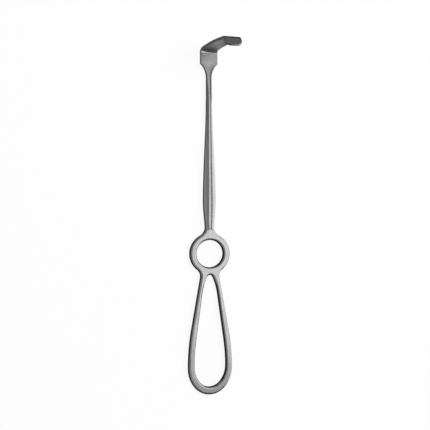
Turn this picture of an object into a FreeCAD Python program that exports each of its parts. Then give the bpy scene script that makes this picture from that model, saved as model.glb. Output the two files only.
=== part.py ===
import FreeCAD, Part
import math
import os

from FreeCAD import Vector

# A hand-held surgical retractor, forged in one piece from stainless steel.
# It lies on its back with its long side along Y. The handle is at -Y, and the
# blade stands up towards +Z at the +Y end. X = 0 is the plane of symmetry.
# The origin is below the middle of the bounding box. All sizes are in mm.

# Whole instrument
overall_length = 215.2

# Ring of the handle, slightly wider than it is long
ring_hole_width = 17.9
ring_hole_length = 16.9
ring_limb = 4.2

# Teardrop loop of the handle, its limbs, and the opening in it
loop_width = 28.75
loop_round_length = 16.5
loop_side_radius = 130.0
loop_limb_angle = 10.65
loop_end_limb = 4.8
loop_limb = 3.9
opening_round_length = 12.8
opening_side_radius = 110.0
opening_limb_angle = 8.25
opening_tip_length = 11.5
opening_tip_radius = 2.3

# Distance from the middle of the ring to the end of the loop
ring_to_loop_end = 87.1
# Web between the hole of the ring and the opening of the loop
web_length = 4.8

# Thickness of ring and loop, the round of their edges, and their outer corners
handle_depth = 3.6
handle_edge_round = 1.25
ring_to_loop_fillet = 5.0
ring_to_shaft_fillet = 7.6

# Eight-sided shaft: width and depth, and the widths of its front and side facets,
# at its thickest place, at the ring and at the neck before the plate
swell_width = 7.8
swell_depth = 5.3
swell_front = 2.4
swell_side = 2.0
swell_from_ring = 31.4

ring_end_width = 5.6
ring_end_depth = 4.4
ring_end_front = 2.1
ring_end_side = 2.4

neck_width = 3.5
neck_depth = 4.0
neck_front = 1.6
neck_side = 1.5

# Hollow of each ground facet, as a share of the facet's width
facet_hollow = 0.06
# Lengths over which the facets fade: corners below the neck, hollow into the plate
facet_run = 11.5
hollow_run = 3.0

# Foot of the shaft in the ring: how much narrower the filleted foot is than the
# shaft on each side, and the length, spread and depth in which the facets sink into it
foot_step = 0.35
root_run = 2.8
root_spread = 0.9
root_sink = 0.3

# Flat plate between the shaft and the blade
plate_height = 6.6
flare_radius = 11.0
flare_length = 8.8

# Blade: a bent strip. It rises from the bend, arches over and ends in a lip
blade_width = 11.4
blade_thickness = 1.8
blade_edge_bevel = 0.5
blade_bend_radius = 1.6
blade_bend_angle = 85.0
blade_run = 33.7
blade_arch_angle = 10.0
blade_waist = 10.8
blade_waist_share = 0.7
blade_tip_width = 10.9
crest_radius = 1.3
lip_angle = 58.0
lip_length = 4.3
lip_corner_radius = 3.4

# Steps of each stretch of the shaft, from the ring to the plate
root_steps = 3
swell_steps = 4
taper_steps = 7
facet_steps = 4
flare_steps = 6
plate_steps = 3

# Lengths below this count as none, and so do turns with a cosine above the next
near = 0.01
same_direction = 0.9

# Places along Y
loop_end_y = -overall_length / 2
ring_y = loop_end_y + ring_to_loop_end
ring_top_y = ring_y + ring_hole_length / 2 + ring_limb
ring_foot_y = ring_top_y - ring_limb / 2
root_top_y = ring_top_y + root_run
opening_width = loop_width - 2 * loop_limb
opening_top_y = ring_y - ring_hole_length / 2 - web_length
blade_top_y = overall_length / 2
arch_radius = blade_run / math.radians(blade_arch_angle)
arch_lead = (arch_radius - blade_bend_radius) * math.sin(math.radians(blade_bend_angle))
bend_start_y = blade_top_y - blade_thickness - arch_radius + arch_lead
plate_end_y = bend_start_y - plate_height
strip_start_y = plate_end_y + hollow_run
neck_y = plate_end_y - flare_length
facet_end_y = neck_y - facet_run
swell_y = ring_y + swell_from_ring

# Height of the middle plane, so that the swell of the shaft touches z = 0
middle_z = swell_depth / 2

# Sections of the shaft: width, depth, front facet, side facet
swell = (swell_width, swell_depth, swell_front, swell_side)
ring_end = (ring_end_width, ring_end_depth, ring_end_front, ring_end_side)
root = (ring_end_width + 2 * root_spread, handle_depth - 2 * root_sink,
        ring_end_front + 2 * root_spread, ring_end_side)
neck = (neck_width, neck_depth, neck_front, neck_side)

# Height of a quarter round over its chord, as a share of the chord
round_bulge = (1 - math.sqrt(0.5)) / math.sqrt(2)


def ease(share):
    """Smooth step from 0 to 1."""
    clipped = min(max(share, 0.0), 1.0)
    return (1 - math.cos(math.pi * clipped)) / 2


def blend(first, second, share):
    """Value, or section, between two others."""
    if isinstance(first, tuple):
        return tuple(blend(a, b, share) for a, b in zip(first, second))
    return first + (second - first) * ease(share)


def line(start, end):
    return Part.LineSegment(start, end).toShape()


def bow(start, corner, end):
    """Curve that leaves start towards the corner, a quarter ellipse if that is a right angle."""
    curve = Part.BezierCurve()
    curve.setPoles([start, corner, end])
    curve.setWeight(2, math.sqrt(0.5))
    return curve.toShape()


def mirrored_face(half_edges):
    """Face between the edges of one half and their mirror image about X = 0."""
    other_half = [edge.mirror(Vector(0, 0, 0), Vector(1, 0, 0)) for edge in half_edges]
    wire = Part.Wire(Part.__sortEdges__(half_edges + other_half))
    return Part.Face(wire)


def arc(middle, radius, start, end):
    """Arc about a point, from one direction to another."""
    half_way = (start + end).normalize()
    return Part.Arc(*[middle + spoke * radius for spoke in (start, half_way, end)]).toShape()


def quarter_oval(middle, first, second):
    """Two arcs that meet smoothly, from middle + first round to middle + second."""
    first_reach, second_reach = first.Length, second.Length
    chord = math.hypot(first_reach, second_reach)
    first_radius = chord * (chord - first_reach + second_reach) / (2 * first_reach)
    second_radius = chord * (chord + first_reach - second_reach) / (2 * second_reach)
    start, end = first / first_reach, second / second_reach
    joint = (start * second_reach + end * first_reach) / chord
    return [arc(middle + first - start * first_radius, first_radius, start, joint),
            arc(middle + second - end * second_radius, second_radius, joint, end)]


def oval_face(width, length, y):
    middle = Vector(0, y, 0)
    side = Vector(width / 2, 0, 0)
    rise = Vector(0, length / 2, 0)
    return mirrored_face(quarter_oval(middle, -rise, side) + quarter_oval(middle, side, rise))


def teardrop_half(width, end_y, round_length, side_radius, limb_angle, top_y):
    """Edges of the +X half, from the round end up to top_y, and their last point."""
    middle = Vector(0, end_y + round_length, 0)
    half_width = Vector(width / 2, 0, 0)
    round_end = quarter_oval(middle, Vector(0, -round_length, 0), half_width)
    widest = middle + half_width

    angle = math.radians(limb_angle)
    arc_middle = widest - Vector(side_radius, 0, 0)
    half_way = arc_middle + Vector(math.cos(angle / 2), math.sin(angle / 2), 0) * side_radius
    limb_start = arc_middle + Vector(math.cos(angle), math.sin(angle), 0) * side_radius
    side = Part.Arc(widest, half_way, limb_start).toShape()

    rise = top_y - limb_start.y
    limb_end = Vector(limb_start.x - rise * math.tan(angle), top_y, 0)
    return round_end + [side, line(limb_start, limb_end)], limb_end


def loop_face():
    """Outline of the loop, which ends inside the lower limb of the ring."""
    top_y = ring_y - ring_hole_length / 2 - ring_limb / 2
    edges, limb_end = teardrop_half(loop_width, loop_end_y, loop_round_length,
                                    loop_side_radius, loop_limb_angle, top_y)
    return mirrored_face(edges + [line(limb_end, Vector(0, top_y, 0))])


def round_tip(limb_end, limb_angle, top_y, tip_radius):
    """Arcs that carry on from the end of a limb to a round tip at X = 0."""
    tip_middle = Vector(0, top_y - tip_radius, 0)
    outward = Vector(math.cos(limb_angle), math.sin(limb_angle), 0)
    reach = limb_end - tip_middle
    clearance = reach.dot(outward) - tip_radius
    side_radius = (reach.Length ** 2 - tip_radius ** 2) / (2 * clearance)
    joint = (tip_middle - limb_end + outward * side_radius).normalize()
    return [arc(limb_end - outward * side_radius, side_radius, outward, joint),
            arc(tip_middle, tip_radius, joint, Vector(0, 1, 0))]


def opening_face():
    """Opening of the loop, with its round tip below the ring."""
    tip_start_y = opening_top_y - opening_tip_length
    edges, limb_end = teardrop_half(opening_width, loop_end_y + loop_end_limb,
                                    opening_round_length, opening_side_radius,
                                    opening_limb_angle, tip_start_y)
    return mirrored_face(edges + round_tip(limb_end, math.radians(opening_limb_angle),
                                           opening_top_y, opening_tip_radius))


def foot_face():
    """Foot of the shaft, which runs from the ring up inside the facets."""
    half = ring_end_width / 2 - foot_step
    shoulder = Vector(half, ring_top_y + ring_to_shaft_fillet, 0)
    corner = Vector(half, ring_foot_y, 0)
    tip = Vector(0, shoulder.y + half, 0)
    return mirrored_face([line(Vector(0, ring_foot_y, 0), corner),
                          line(corner, shoulder),
                          bow(shoulder, Vector(half, tip.y, 0), tip)])


def sharp_edges(solid):
    """Edges where the two faces beside them meet at an angle."""
    found = []
    for edge in solid.Edges:
        faces = solid.ancestorsOfType(edge, Part.Face)
        if len(faces) != 2:
            continue
        point = edge.valueAt((edge.FirstParameter + edge.LastParameter) / 2)
        normals = [face.normalAt(*face.Surface.parameter(point)) for face in faces]
        if normals[0].dot(normals[1]) < same_direction:
            found.append(edge)
    return found


def fillet_corner(solid, radius, low_y, high_y):
    """Fillet the sharp upright edges of an extruded outline between two places."""
    corners = []
    for edge in sharp_edges(solid):
        box = edge.BoundBox
        if max(box.XLength, box.YLength) < near and low_y < box.YMin < high_y:
            corners.append(edge)
    return solid.makeFillet(radius, corners)


def handle():
    """Ring, loop and foot of the shaft, cut from one plate with rounded edges."""
    depth = Vector(0, 0, handle_depth)
    ring = oval_face(ring_hole_width + 2 * ring_limb, ring_hole_length + 2 * ring_limb, ring_y)
    hole = oval_face(ring_hole_width, ring_hole_length, ring_y)
    body = ring.extrude(depth).fuse([loop_face().extrude(depth), foot_face().extrude(depth)])
    body = body.removeSplitter()
    body = fillet_corner(body, ring_to_loop_fillet, loop_end_y, ring_y)
    body = fillet_corner(body, ring_to_shaft_fillet, ring_y, ring_top_y)
    body = body.cut([hole.extrude(depth), opening_face().extrude(depth)])
    rims = [edge for face in body.Faces if face.BoundBox.ZLength < near for edge in face.Edges]
    body = body.makeFillet(handle_edge_round, rims)
    body.translate(Vector(0, 0, middle_z - handle_depth / 2))
    return body


def facet_edge(start, end, hollow):
    """Edge from start to end, sunk towards the axis by a share of its length."""
    chord = end - start
    inward = Vector(chord.z, 0, -chord.x)
    middle = (start + end) / 2
    if inward.dot(middle) > 0:
        inward = -inward
    return bow(start, middle + inward * (hollow / round_bulge / 2), end)


def shaft_section(y, size, hollow, corner_hollow):
    """Eight-sided section in the plane Y = y, about the middle plane."""
    width, depth, front, side = [value / 2 for value in size]
    corners = [(front, depth), (width, side), (width, -side), (front, -depth),
               (-front, -depth), (-width, -side), (-width, side), (-front, depth)]
    points = [Vector(x, 0, z) for x, z in corners]
    edges = []
    for index, start in enumerate(points):
        end = points[(index + 1) % len(points)]
        edges.append(facet_edge(start, end, hollow if index % 2 else corner_hollow))
    wire = Part.Wire(edges)
    wire.translate(Vector(0, y, middle_z))
    return wire


def facet_section(y):
    """Section between the root inside the ring and the facets' end, thickest at the swell."""
    if y < root_top_y:
        size = blend(ring_end, root, (root_top_y - y) / root_run)
    elif y < swell_y:
        size = blend(swell, ring_end, (swell_y - y) / (swell_y - root_top_y))
    else:
        size = blend(swell, neck, (y - swell_y) / (facet_end_y - swell_y))
    return shaft_section(y, size, facet_hollow, facet_hollow)


def flare_rise(distance):
    """How far the concave side of the flare has turned out from the neck."""
    reach = min(max(distance, 0.0), flare_length)
    return flare_radius - math.sqrt(flare_radius ** 2 - reach ** 2)


def flare_section(y):
    """Section from the facets' end through the neck and the flare into the plate."""
    turned = flare_rise(y - neck_y) / flare_rise(flare_length)
    opened = 1 - ease((y - facet_end_y) / facet_run)
    flattened = (y - facet_end_y) / (facet_run + flare_length)
    edges = 2 * blade_edge_bevel
    width = neck_width + (blade_width - neck_width) * turned
    front = width - edges - (neck_width - neck_front - edges) * opened
    depth = blend(neck_depth, blade_thickness, flattened)
    side = blend(neck_side, blade_thickness - edges, flattened)
    hollow = facet_hollow * (1 - ease((y - neck_y) / (strip_start_y - neck_y)))
    return shaft_section(y, (width, depth, front, side), hollow, facet_hollow * opened)


def places(start, end, steps):
    """Evenly spaced places from start on, without the end."""
    return [start + (end - start) * step / steps for step in range(steps)]


def shaft():
    """Faceted shaft with its flare, and the foot of the plate in which the hollow fades."""
    faceted = (places(ring_foot_y, ring_top_y, root_steps)
               + places(ring_top_y, root_top_y, root_steps)
               + places(root_top_y, swell_y, swell_steps)
               + places(swell_y, facet_end_y, taper_steps))
    flared = (places(facet_end_y, neck_y, facet_steps)
              + places(neck_y, plate_end_y, flare_steps) + [plate_end_y])
    sections = [facet_section(y) for y in faceted] + [flare_section(y) for y in flared]
    plate = places(plate_end_y, strip_start_y, plate_steps) + [strip_start_y]
    foot = Part.makeLoft([flare_section(y) for y in plate], True, False)
    return Part.makeLoft(sections, True, False).fuse(foot)


def bent_strip():
    """Side view of the bent strip, with the last point and direction of its inner face."""
    stretches = [(plate_height - hollow_run, 0, 0),
                 (0, blade_bend_angle, blade_bend_radius),
                 (0, blade_arch_angle, arch_radius),
                 (0, lip_angle, crest_radius),
                 (lip_length, 0, 0)]
    point = Vector(0, strip_start_y, middle_z + blade_thickness / 2)
    through = Vector(0, 0, -blade_thickness)
    edges = [line(point, point + through)]
    heading = 0.0
    for length, turn, radius in stretches:
        middle = point - through * (radius / blade_thickness)
        if turn:
            for distance in (radius, radius + blade_thickness):
                angles = [heading + math.radians(turn) * share for share in (0, 0.5, 1)]
                bend = [Vector(0, math.sin(angle), -math.cos(angle)) * distance for angle in angles]
                edges.append(Part.Arc(*[middle + spoke for spoke in bend]).toShape())
            heading += math.radians(turn)
            through = Vector(0, math.sin(heading), -math.cos(heading)) * blade_thickness
            point = middle + through * (radius / blade_thickness)
        else:
            end = point + Vector(0, math.cos(heading), math.sin(heading)) * length
            edges.append(line(point, end))
            edges.append(line(point + through, end + through))
            point = end
    edges.append(line(point, point + through))
    return Part.Face(Part.Wire(Part.__sortEdges__(edges))), point, heading


def plan_prism(crest_z):
    """Waisted outline of the blade seen along Y, as a long prism."""
    root_z = middle_z + blade_thickness / 2
    waist_z = root_z + (crest_z - root_z) * blade_waist_share
    far_z = crest_z + lip_length + blade_thickness
    low_side = Vector(blade_width / 2, 0, middle_z - blade_thickness)
    root = Vector(blade_width / 2, 0, root_z)
    waist = Vector(blade_waist / 2, 0, waist_z)
    crest = Vector(blade_tip_width / 2, 0, crest_z)
    far_side = Vector(blade_tip_width / 2, 0, far_z)
    along_side = (waist - root) * ((crest_z - waist_z) / 2 / (waist_z - root_z))
    half = [line(Vector(0, 0, low_side.z), low_side),
            line(low_side, root),
            line(root, waist),
            bow(waist, waist + along_side, crest),
            line(crest, far_side),
            line(far_side, Vector(0, 0, far_z))]
    return mirrored_face(half).extrude(Vector(0, overall_length, 0))


def lip_corners(strip, lip_end):
    """Edges through the thickness at the two corners of the lip."""
    found = []
    for edge in strip.Edges:
        middle = edge.CenterOfMass
        beside = Vector(middle.x, lip_end.y, lip_end.z)
        through = abs(edge.Length - blade_thickness) < near
        if through and (middle - beside).Length < blade_thickness:
            found.append(edge)
    return found


def blade():
    """Plate, bend, blade, crest and lip, bent from one strip with bevelled edges."""
    side_view, lip_end, heading = bent_strip()
    widest = max(blade_width, blade_tip_width)
    side_view.translate(Vector(-widest / 2, 0, 0))
    strip = side_view.extrude(Vector(widest, 0, 0))
    crest_z = lip_end.z - lip_length * math.sin(heading) - crest_radius
    strip = strip.common(plan_prism(crest_z))
    strip = strip.makeFillet(lip_corner_radius, lip_corners(strip, lip_end))
    rims = [edge for edge in sharp_edges(strip) if edge.BoundBox.YMax > strip_start_y + near]
    return strip.makeChamfer(blade_edge_bevel, rims)


def build():
    return handle().fuse([shaft(), blade()]).removeSplitter()


os.makedirs("parts", exist_ok=True)
retractor = build()
retractor.exportStep("parts/retractor.step")
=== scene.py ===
"""A hand-held surgical retractor of satin-ground stainless steel, lying on a pale table."""

import math

import bpy
from bpy.props import FloatProperty, FloatVectorProperty, PointerProperty
from mathutils import Matrix, Vector


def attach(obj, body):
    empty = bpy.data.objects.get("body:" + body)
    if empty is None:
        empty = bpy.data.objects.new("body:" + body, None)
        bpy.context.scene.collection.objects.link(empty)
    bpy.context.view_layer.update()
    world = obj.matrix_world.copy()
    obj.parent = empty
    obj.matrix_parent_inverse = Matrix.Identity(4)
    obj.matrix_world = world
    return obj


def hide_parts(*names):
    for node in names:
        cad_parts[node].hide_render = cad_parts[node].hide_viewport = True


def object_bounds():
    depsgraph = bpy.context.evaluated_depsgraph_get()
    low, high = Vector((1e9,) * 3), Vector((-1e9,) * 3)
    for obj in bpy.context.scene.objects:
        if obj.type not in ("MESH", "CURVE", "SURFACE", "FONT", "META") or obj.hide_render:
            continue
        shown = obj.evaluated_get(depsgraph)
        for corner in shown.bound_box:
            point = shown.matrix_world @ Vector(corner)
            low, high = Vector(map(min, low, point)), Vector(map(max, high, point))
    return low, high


bl_info = {
    "name": "Surgical Retractor",
    "version": (1, 0, 0),
    "blender": (4, 5, 0),
    "location": "View3D > Sidebar > Retractor",
    "description": "Builds a one-piece hand retractor of ground steel and its table",
    "category": "Object",
}

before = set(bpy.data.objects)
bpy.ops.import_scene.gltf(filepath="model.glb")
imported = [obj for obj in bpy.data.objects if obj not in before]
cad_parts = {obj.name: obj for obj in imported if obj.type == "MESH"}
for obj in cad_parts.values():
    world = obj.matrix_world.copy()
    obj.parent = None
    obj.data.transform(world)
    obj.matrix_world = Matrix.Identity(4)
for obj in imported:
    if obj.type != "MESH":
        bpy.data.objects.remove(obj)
cad_low, cad_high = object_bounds()

# Where the finish changes, in metres: two heights, a place along the retractor, and the
# short run over which it changes
blade_foot = 0.0045
lip_low = 0.0405
handle_top = -0.006
blend_run = 0.002

# Most of a noise lies between these values
noise_low = 0.3
noise_high = 0.7

# Share of the grinding lines and the clouds in the tone, beside the streaks' share of 1,
# and of the lines in the relief
line_tone = 0.6
cloud_tone = 0.8
line_relief = 0.4

# How many times longer than wide the satin's grains are, and how many times more streaks
# than lines the blade has along it
satin_stretch = 4
blade_streaks_per_line = 2

# Cosine of the turn from the true to the rounded normal where wear starts and is full
wear_start = 0.99
wear_full = 0.9

# Vertices closer than this, in metres, are one, and triangles that meet at less than this
# angle are one flat face
merge_distance = 0.000001
plane_angle = math.radians(0.2)

# Steps from face to face that a fitted surface takes in, and the small weight that keeps
# it steady where its points leave a term open
fit_reach = 2
steady_weight = 0.000001

# Side of the photograph's square frame, in pixels
photo_width = 430

# Grey room round the retractor, in metres
room_left = -0.4
room_right = 1
room_near = -1
room_far = 1
roof_height = 0.9
wall_height = 0.75
wall_distance = 0.7

# Where the cards of the room meet: heights up the left wall, the top of its slope as x and
# z, values of x across the roof, and values of y that part its right side. Between its near
# and its far part that side is open, and the steel sees the white world there.
wall_top = 0.11
rise_top = 0.2
slope_top = (-0.35, 0.45)
roof_left = -0.13
line_left = 0.07
line_right = 0.205
edge_right = 0.25
near_roof_near = -0.355
near_roof_far = -0.282
far_roof_near = 0.2

# A lighter card stands just inside the far wall, where the lip's reflections meet it
lip_wall_distance = 0.69

# Height, in metres, of the painted-shade cards just over the table and of the tops of the
# painted-shade cards in the openings
card_gap = 0.0002
opening_shade_top = 0.008

# Painted-shade cards over the table, in metres: where those of handle, shaft and blade meet,
# and where they end
handle_end = -0.008
shaft_end = 0.075
blade_left = 0.001
blade_right = 0.012
shade_cards_near = -0.6
shade_cards_far = 0.6
shade_cards_right = 0.4


def sloping(level, start, end, near=room_near, far=room_far):
    """Level and corners of a card that runs from one (x, z) to another, from near to far."""
    (start_x, start_z), (end_x, end_z) = start, end
    return level, [(start_x, near, start_z), (start_x, far, start_z),
                   (end_x, far, end_z), (end_x, near, end_z)]


def flat(level, height, left, right, near=room_near, far=room_far):
    """Level and corners of a card that lies flat at a height."""
    return sloping(level, (left, height), (right, height), near, far)


def upright(level, start, end, bottom=0, top=wall_height):
    """Level and corners of an upright card that runs from one (x, y) to another."""
    return level, [(*start, bottom), (*start, top), (*end, top), (*end, bottom)]


# Grey cards that only the steel's reflections see. Walls and roof make up the room. The dark
# cards just over the table, beside the faces that look down on them, are painted shade: the
# steel reflects them in place of the table round it. The cards standing in the openings are
# painted shade too, and a flag hangs over the lip.
cards = {
    "left_wall": sloping(0.08, (room_left, 0), (room_left, wall_top)),
    "left_rise": sloping(0.2, (room_left, wall_top), (room_left, rise_top)),
    "left_slope": sloping(0.23, (room_left, rise_top), slope_top),
    "left_roof": sloping(0.3, slope_top, (roof_left, roof_height)),
    "roof": flat(0.25, roof_height, roof_left, line_left),
    "roof_line": flat(0.05, roof_height, line_left, line_right),
    "roof_edge": flat(0.4, roof_height, line_right, edge_right),
    "far_roof": flat(0.43, roof_height, edge_right, room_right, near=far_roof_near),
    "near_roof": flat(0.22, roof_height, edge_right, room_right, near_roof_near, near_roof_far),
    "end_roof": flat(0.06, roof_height, edge_right, room_right, far=near_roof_near),
    "far_wall": upright(0.12, (room_left, wall_distance), (room_right, wall_distance)),
    "near_wall": upright(0.08, (room_left, -wall_distance), (room_right, -wall_distance)),
    # Painted shade: dark sheets just over the table, which the steel reflects instead of the
    # table
    "handle_painted_shade": flat(0.025, card_gap, room_left, shade_cards_right, shade_cards_near, handle_end),
    "shaft_painted_shade": flat(0.06, card_gap, room_left, blade_left, handle_end, shaft_end),
    "lip_end_painted_shade": flat(0.02, card_gap, 0.03, 0.062, handle_end, 0.018),
    "left_blade_painted_shade": flat(0.17, card_gap, room_left, blade_left, shaft_end, shade_cards_far),
    "blade_painted_shade": flat(0.45, card_gap, blade_left, blade_right, shaft_end, shade_cards_far),
    "lip_wall": upright(0.24, (room_left, lip_wall_distance), (room_right, lip_wall_distance),
                        bottom=0.15, top=0.5),
    # Painted shade beside the lip, which the steel reflects instead of the table
    "lip_painted_shade": flat(0.06, card_gap, blade_right, shade_cards_right, shaft_end, shade_cards_far),
    # Painted shade in the loop's opening, which its inner walls reflect
    "loop_painted_shade": upright(0.03, (0.0065, -0.098), (0.001, -0.041), card_gap, opening_shade_top),
    "lip_flag": flat(0.03, 0.058, -0.004, 0.015, 0.088, 0.1),
    # Painted shade in the ring's opening, which its inner walls reflect
    "ring_painted_shade": upright(0.03, (0.0045, -0.0275), (0.0045, -0.0135), card_gap, opening_shade_top),
}


class SteelSettings(bpy.types.PropertyGroup):
    """Look of the ground stainless steel."""
    colour: FloatVectorProperty(
        name="Colour", description="Colour of the ground faces", subtype="COLOR",
        size=3, min=0, max=1, default=(0.69, 0.69, 0.7))
    roughness: FloatProperty(
        name="Roughness", description="Roughness of the ground faces", min=0, max=1,
        default=0.24)
    rough_spread: FloatProperty(
        name="Roughness spread", description="How much the roughness changes between lines",
        default=0.02)
    tone_spread: FloatProperty(
        name="Tone spread", description="How much the tone changes between lines",
        default=0.03)
    wear: FloatProperty(
        name="Wear", description="How much lighter the rubbed ridges are", default=0.12)
    fine_grain: FloatProperty(
        name="Fine grain", description="Fine grinding lines per metre across them",
        default=6000)
    coarse_grain: FloatProperty(
        name="Coarse grain", description="Coarse streaks per metre across them", default=1100)
    line_run: FloatProperty(
        name="Line run", description="Grinding lines per metre along them", default=70)
    cloud_grain: FloatProperty(
        name="Cloud grain", description="Soft cloudy patches per metre", default=130)
    line_strength: FloatProperty(
        name="Line strength", description="Strength of the grinding lines' relief", default=0.07)
    # Painted shade: the blade's colour is made darker than the rest, standing in for the darker
    # surroundings it reflects
    painted_blade_shade: FloatProperty(
        name="Painted blade shade", description="Tone of the matt blade beside the rest", default=0.6)
    blade_roughness: FloatProperty(
        name="Blade roughness", description="Roughness of the matt blade", default=0.4)
    line_depth: FloatProperty(
        name="Line depth", description="Depth of the grinding lines", unit="LENGTH",
        default=0.000012)
    edge_round: FloatProperty(
        name="Edge round", description="Radius of the rubbed ridges", unit="LENGTH",
        default=0.00015)
    crease_angle: FloatProperty(
        name="Crease angle", description="Faces that meet at less than this are shaded smooth",
        subtype="ANGLE", default=math.radians(24))
    flat_area: FloatProperty(
        name="Flat area", description="Flat faces broader than this stay flat in the shading",
        unit="AREA", default=0.000006)


class StageSettings(bpy.types.PropertyGroup):
    """Table, lamp and camera."""
    table_colour: FloatVectorProperty(
        name="Table colour", description="Colour of the table", subtype="COLOR",
        size=3, min=0, max=1, default=(0.9, 0.9, 0.9))
    table_roughness: FloatProperty(
        name="Table roughness", description="Roughness of the table", min=0, max=1,
        default=0.9)
    table_size: FloatProperty(
        name="Table size", description="Side of the table top", unit="LENGTH", default=3.0)
    background_share: FloatProperty(
        name="Background share", description="How much the table shows as plain white",
        min=0, max=1, default=0.92)
    world_light: FloatProperty(
        name="World light", description="Strength of the even light from all round",
        default=0.5)
    lamp_power: FloatProperty(
        name="Lamp power", description="Power of the lamp over the table", unit="POWER",
        default=6)
    lamp_size: FloatProperty(
        name="Lamp size", description="Side of the square lamp", unit="LENGTH", default=0.5)
    lamp_place: FloatVectorProperty(
        name="Lamp place", description="Place of the lamp over the table", subtype="XYZ",
        unit="LENGTH", size=3, default=(0.4, 0.2, 0.9))
    swing: FloatProperty(
        name="Swing", description="Angle of the camera to the left of the upright",
        subtype="ANGLE", default=math.radians(22))
    roll: FloatProperty(
        name="Roll", description="Turn of the camera about its own line of sight",
        subtype="ANGLE", default=math.radians(0.25))
    aim: FloatVectorProperty(
        name="Aim", description="Point that the camera looks at", subtype="XYZ",
        unit="LENGTH", size=3, default=(0.0038, 0.0034, 0.00265))
    distance: FloatProperty(
        name="Distance", description="From the aim to the camera", unit="LENGTH", default=0.52)
    pixels_per_metre: FloatProperty(
        name="Pixels per metre", description="Scale of the picture at the aim", default=1610)


class NodeBench:
    """Short calls that add nodes to one material or world."""

    def __init__(self, owner):
        owner.use_nodes = True
        self.nodes = owner.node_tree.nodes
        self.links = owner.node_tree.links

    def add(self, kind, **sockets):
        """Node of a kind, with values or outputs of other nodes put on its named sockets."""
        node = self.nodes.new(kind)
        for name, value in sockets.items():
            self.put(value, node.inputs[name])
        return node

    def put(self, value, socket):
        """Give a socket a value, or link it to the output of another node."""
        if isinstance(value, bpy.types.NodeSocket):
            self.links.new(value, socket)
        else:
            socket.default_value = value

    def math(self, operation, first, second):
        """Result of a sum of two values."""
        node = self.nodes.new("ShaderNodeMath")
        node.operation = operation
        self.put(first, node.inputs[0])
        self.put(second, node.inputs[1])
        return node.outputs[0]

    def remap(self, value, low, high, to_low, to_high):
        """Value stretched from one range to another and held within it."""
        node = self.add("ShaderNodeMapRange", Value=value)
        for name, number in zip(("From Min", "From Max", "To Min", "To Max"),
                                (low, high, to_low, to_high)):
            node.inputs[name].default_value = number
        return node.outputs[0]

    def noise(self, place, stretch, detail):
        """Noise whose grain per metre along each axis is given by stretch."""
        grain = self.add("ShaderNodeMapping", Vector=place, Scale=stretch)
        noise = self.add("ShaderNodeTexNoise", Vector=grain.outputs[0], Scale=1.0,
                         Detail=detail)
        return noise.outputs[0]

    def swayed(self, noise, share):
        """Noise stretched to run from minus a share to plus that share."""
        return self.remap(noise, noise_low, noise_high, -share, share)

    def between(self, share, first, second):
        """Mix that is first where the share is 0 and second where it is 1."""
        node = self.nodes.new("ShaderNodeMix")
        self.put(share, node.inputs[0])
        self.put(first, node.inputs[2])
        self.put(second, node.inputs[3])
        return node.outputs[0]


def ground_steel(settings):
    """Stainless steel with grinding lines along the shaft and up the blade, and painted shade
    that darkens the blade.
    """
    steel = bpy.data.materials.new("satin_steel")
    bench = NodeBench(steel)
    shader = bench.nodes["Principled BSDF"]
    place = bench.add("ShaderNodeTexCoord").outputs["Object"]
    split = bench.add("ShaderNodeSeparateXYZ", Vector=place)
    height = split.outputs["Z"]
    along = split.outputs["Y"]
    on_blade = bench.remap(height, blade_foot, blade_foot + blend_run, 0, 1)
    on_lip = bench.remap(height, lip_low - blend_run, lip_low, 0, 1)
    on_handle = bench.remap(along, handle_top, handle_top - blend_run, 0, 1)

    fine, coarse, run = settings.fine_grain, settings.coarse_grain, settings.line_run
    shaft_lines = bench.noise(place, (fine, run, fine), detail=2)
    blade_lines = bench.noise(place, (fine, fine, run), detail=2)
    satin = bench.noise(place, (fine, fine / satin_stretch, fine), detail=1)
    lines = bench.between(on_blade, shaft_lines, blade_lines)
    lines = bench.between(on_handle, lines, satin)
    shaft_streaks = bench.noise(place, (coarse, run, coarse), detail=3)
    blade_streaks = bench.noise(place, (coarse, coarse, blade_streaks_per_line * run), detail=3)
    streaks = bench.between(on_blade, shaft_streaks, blade_streaks)
    clouds = bench.noise(place, (settings.cloud_grain,) * 3, detail=3)

    soft_normal = bench.add("ShaderNodeBevel", Radius=settings.edge_round).outputs[0]
    true_normal = bench.add("ShaderNodeNewGeometry").outputs["Normal"]
    turn = bench.nodes.new("ShaderNodeVectorMath")
    turn.operation = "DOT_PRODUCT"
    bench.put(soft_normal, turn.inputs[0])
    bench.put(true_normal, turn.inputs[1])
    worn = bench.remap(turn.outputs["Value"], wear_start, wear_full, 0, 1)

    shade = bench.math("ADD", bench.swayed(streaks, 1), bench.swayed(lines, line_tone))
    shade = bench.math("ADD", shade, bench.swayed(clouds, cloud_tone))
    tone = bench.math("MULTIPLY", shade, settings.tone_spread)
    tone = bench.math("ADD", tone, bench.math("MULTIPLY", worn, settings.wear))
    # Painted shade: colour above the blade's foot, lip included, is darkened to the blade's share
    tone = bench.math("ADD", tone, bench.between(on_blade, 1, settings.painted_blade_shade))
    colour = bench.nodes.new("ShaderNodeVectorMath")
    colour.operation = "SCALE"
    bench.put(settings.colour, colour.inputs[0])
    bench.put(tone, colour.inputs["Scale"])
    bench.put(colour.outputs[0], shader.inputs["Base Color"])

    spread = bench.math("MULTIPLY", shade, -settings.rough_spread)
    polish = bench.math("MULTIPLY", worn, -settings.rough_spread)
    finish = bench.between(on_blade, settings.roughness, settings.blade_roughness)
    finish = bench.between(on_lip, finish, settings.roughness)
    rough = bench.math("ADD", bench.math("ADD", spread, polish), finish)
    bench.put(rough, shader.inputs["Roughness"])
    bench.put(1, shader.inputs["Metallic"])

    relief = bench.math("ADD", bench.math("MULTIPLY", lines, line_relief), streaks)
    bump = bench.add("ShaderNodeBump", Height=relief, Strength=settings.line_strength,
                     Distance=settings.line_depth, Normal=soft_normal)
    bench.put(bump.outputs[0], shader.inputs["Normal"])
    return steel


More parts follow.
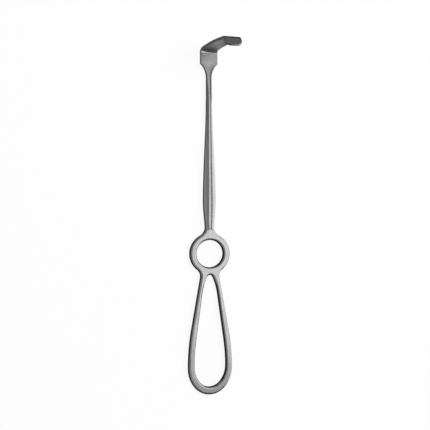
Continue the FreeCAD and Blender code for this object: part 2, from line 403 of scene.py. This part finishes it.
def smooth_neighbours(mesh, limit):
    """Faces that each face meets at less than the limit."""
    sides = {}
    for face in mesh.polygons:
        for key in face.edge_keys:
            sides.setdefault(key, []).append(face)
    neighbours = [set() for face in mesh.polygons]
    for faces in sides.values():
        first, last = faces[0], faces[-1]
        if first is not last and first.normal.angle(last.normal, math.pi) < limit:
            neighbours[first.index].add(last.index)
            neighbours[last.index].add(first.index)
    return neighbours


def spread_out(start, neighbours, allowed=None, steps=None):
    """Faces reached from the start through neighbours, in so many steps or to the end."""
    reached = set(start)
    edge = reached
    taken = 0
    while edge and taken != steps:
        edge = set().union(*(neighbours[index] for index in edge)) - reached
        if allowed is not None:
            edge &= allowed
        reached |= edge
        taken += 1
    return reached


def flat_areas(mesh):
    """Area of the flat face that each triangle is part of."""
    faces = mesh.polygons
    level = smooth_neighbours(mesh, plane_angle)
    areas = [0] * len(faces)
    for face in faces:
        if not areas[face.index]:
            plane = spread_out([face.index], level)
            total = sum(faces[index].area for index in plane)
            for index in plane:
                areas[index] = total
    return areas


def solved(rows):
    """Least-squares answer to rows of (terms, value), by elimination."""
    size = len(rows[0][0])
    grid = [[sum(terms[i] * terms[j] for terms, value in rows) + (steady_weight if i == j else 0)
             for j in range(size)] + [sum(terms[i] * value for terms, value in rows)]
            for i in range(size)]
    for column in range(size):
        best = max(range(column, size), key=lambda row: abs(grid[row][column]))
        grid[column], grid[best] = grid[best], grid[column]
        for row in range(size):
            if row != column:
                share = grid[row][column] / grid[column][column]
                grid[row] = [a - share * b for a, b in zip(grid[row], grid[column])]
    return [grid[row][size] / grid[row][row] for row in range(size)]


def curved_normal(point, around, guess):
    """Normal at a point of the curved surface that runs through the points around it."""
    across = guess.orthogonal().normalized()
    up = guess.cross(across)
    spots = [(other.dot(across), other.dot(up), other.dot(guess))
             for other in (spot - point for spot in around)]
    wide = max(abs(u) for u, v, h in spots) or 1
    high = max(abs(v) for u, v, h in spots) or 1
    rows = [((1, u / wide, v / high, (u / wide) ** 2, u * v / wide / high, (v / high) ** 2),
             h / wide) for u, v, h in spots]
    across_slope, up_slope = solved(rows)[1:3]
    return (guess - across * across_slope - up * up_slope * wide / high).normalized()


def fitted_normals(mesh, crease_angle, flat_area):
    """Normal of each face corner, from the curved or flat surface through its neighbours."""
    faces = mesh.polygons
    smooth = smooth_neighbours(mesh, crease_angle)
    areas = flat_areas(mesh)
    faces_at = {}
    for face in faces:
        for vertex in face.vertices:
            faces_at.setdefault(vertex, set()).add(face.index)
    found = {}
    for vertex, touching in faces_at.items():
        point = mesh.vertices[vertex].co
        while touching:
            fan = spread_out([min(touching)], smooth, touching)
            touching = touching - fan
            broad = max(fan, key=areas.__getitem__)
            normal = faces[broad].normal
            if areas[broad] < flat_area:
                guess = sum((faces[index].normal * faces[index].area for index in fan), Vector())
                wide = spread_out(fan, smooth, steps=fit_reach)
                around = {other for index in wide for other in faces[index].vertices}
                normal = curved_normal(point, [mesh.vertices[other].co for other in around],
                                       guess.normalized())
            for index in fan:
                found[index, vertex] = normal
    return [found[face.index, vertex] for face in faces for vertex in face.vertices]


class RETRACTOR_OT_body(bpy.types.Operator):
    """Add the forged body of the retractor"""
    bl_idname = "retractor.body"
    bl_label = "Forged Body"
    bl_options = {"REGISTER", "UNDO"}

    def execute(self, context):
        settings = context.scene.retractor_steel
        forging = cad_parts["retractor"]
        bpy.ops.object.select_all(action="DESELECT")
        mesh = forging.data.copy()
        body = bpy.data.objects.new("forged_body", mesh)
        context.collection.objects.link(body)
        body.select_set(True)
        context.view_layer.objects.active = body
        bpy.ops.object.mode_set(mode="EDIT")
        bpy.ops.mesh.select_all(action="SELECT")
        bpy.ops.mesh.remove_doubles(threshold=merge_distance)
        bpy.ops.object.mode_set(mode="OBJECT")
        bpy.ops.object.shade_smooth_by_angle(angle=settings.crease_angle)
        mesh.normals_split_custom_set(fitted_normals(mesh, settings.crease_angle,
                                                     settings.flat_area))
        mesh.materials.clear()
        mesh.materials.append(ground_steel(settings))
        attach(body, "root")
        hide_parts("retractor")
        return {"FINISHED"}


def background_share(bench, share):
    """Value that is share for camera, glossy and transmission rays, and 0 for the rest."""
    path = bench.add("ShaderNodeLightPath")
    seen = bench.math("MAXIMUM", path.outputs["Is Camera Ray"], path.outputs["Is Glossy Ray"])
    seen = bench.math("MAXIMUM", seen, path.outputs["Is Transmission Ray"])
    return bench.math("MULTIPLY", seen, share)


def table_paper(settings):
    """White paper that shows as the white background, with the shadow still on it."""
    paper = bpy.data.materials.new("table_paper")
    bench = NodeBench(paper)
    shader = bench.nodes["Principled BSDF"]
    bench.put((*settings.table_colour, 1), shader.inputs["Base Color"])
    bench.put(settings.table_roughness, shader.inputs["Roughness"])
    glow = bench.add("ShaderNodeEmission")
    mix = bench.add("ShaderNodeMixShader", Fac=background_share(bench, settings.background_share))
    bench.put(shader.outputs[0], mix.inputs[1])
    bench.put(glow.outputs[0], mix.inputs[2])
    bench.put(mix.outputs[0], bench.nodes["Material Output"].inputs["Surface"])
    return paper


def studio_world(settings):
    """Soft light from all round, which shows as white."""
    world = bpy.data.worlds.new("studio")
    bench = NodeBench(world)
    background = bench.nodes["Background"]
    bench.put((1, 1, 1, 1), background.inputs["Color"])
    strength = bench.remap(background_share(bench, 1), 0, 1, settings.world_light, 1)
    bench.put(strength, background.inputs["Strength"])
    return world


def glowing_material(name, level):
    """Even grey of a known level, whatever lights it."""
    material = bpy.data.materials.new(name)
    bench = NodeBench(material)
    bench.nodes.remove(bench.nodes["Principled BSDF"])
    glow = bench.add("ShaderNodeEmission", Color=(level, level, level, 1))
    bench.put(glow.outputs[0], bench.nodes["Material Output"].inputs["Surface"])
    return material


def add_card(name, level, corners):
    """Grey card between four corners, which only the steel's reflections see."""
    bpy.ops.object.select_all(action="DESELECT")
    bpy.ops.mesh.primitive_plane_add(size=1)
    card = bpy.context.object
    card.name = name
    # The corners of a new plane are numbered row by row, so its outline runs in this order
    outline = (0, 1, 3, 2)
    for index, corner in zip(outline, corners):
        card.data.vertices[index].co = corner
    card.data.materials.append(glowing_material(name, level))
    card.visible_camera = False
    card.visible_diffuse = False
    card.visible_shadow = False


def add_table(settings):
    """Pale table that the retractor lies on."""
    bpy.ops.object.select_all(action="DESELECT")
    bpy.ops.mesh.primitive_plane_add(size=settings.table_size, location=(0, 0, cad_low.z))
    table = bpy.context.object
    table.name = "table"
    table.data.materials.append(table_paper(settings))


def add_lamp(settings):
    """Square soft lamp that faces the middle of the retractor and lights the table only."""
    bpy.ops.object.light_add(type="AREA", location=settings.lamp_place)
    lamp = bpy.context.object
    lamp.name = "table_lamp"
    lamp.data.size = settings.lamp_size
    lamp.data.energy = settings.lamp_power
    lamp.rotation_euler = (-Vector(settings.lamp_place)).to_track_quat("-Z", "Y").to_euler()
    lamp.visible_glossy = False


def add_camera(context, settings):
    """Camera that sees the retractor as the photograph does."""
    camera_data = bpy.data.cameras.new("camera")
    camera = bpy.data.objects.new("camera", camera_data)
    context.collection.objects.link(camera)
    focal_pixels = settings.pixels_per_metre * settings.distance
    camera_data.lens = camera_data.sensor_width * focal_pixels / photo_width
    camera_data.clip_start = 0.01
    right = Vector((math.cos(settings.swing), 0, math.sin(settings.swing)))
    up = Vector((0, 1, 0))
    back = right.cross(up)
    turn = Matrix((right, up, back)).transposed()
    roll = Matrix.Rotation(-settings.roll, 3, "Z")
    place = Vector(settings.aim) + back * settings.distance
    camera.matrix_world = Matrix.Translation(place) @ (turn @ roll).to_4x4()
    context.scene.camera = camera


class RETRACTOR_OT_stage(bpy.types.Operator):
    """Add the table, the grey cards, the lamp and the camera"""
    bl_idname = "retractor.stage"
    bl_label = "Stage"
    bl_options = {"REGISTER", "UNDO"}

    def execute(self, context):
        settings = context.scene.retractor_stage
        add_table(settings)
        context.scene.world = studio_world(settings)
        for name, (level, corners) in cards.items():
            add_card(name, level, corners)
        add_lamp(settings)
        add_camera(context, settings)
        context.scene.view_settings.view_transform = "Standard"
        return {"FINISHED"}


class RETRACTOR_PT_sidebar(bpy.types.Panel):
    """Steps that build the retractor"""
    bl_idname = "RETRACTOR_PT_sidebar"
    bl_label = "Retractor"
    bl_space_type = "VIEW_3D"
    bl_region_type = "UI"
    bl_category = "Retractor"

    def draw(self, context):
        scene = context.scene
        for settings in (scene.retractor_steel, scene.retractor_stage):
            for name in settings.bl_rna.properties.keys():
                if name not in ("name", "rna_type"):
                    self.layout.prop(settings, name)
        self.layout.operator("retractor.body")
        self.layout.operator("retractor.stage")


classes = (
    SteelSettings,
    StageSettings,
    RETRACTOR_OT_body,
    RETRACTOR_OT_stage,
    RETRACTOR_PT_sidebar,
)


def register():
    for cls in classes:
        bpy.utils.register_class(cls)
    bpy.types.Scene.retractor_steel = PointerProperty(type=SteelSettings)
    bpy.types.Scene.retractor_stage = PointerProperty(type=StageSettings)


def unregister():
    del bpy.types.Scene.retractor_stage
    del bpy.types.Scene.retractor_steel
    for cls in reversed(classes):
        bpy.utils.unregister_class(cls)


def main():
    register()
    bpy.ops.retractor.body()
    bpy.ops.retractor.stage()


if __name__ == "__main__":
    main()
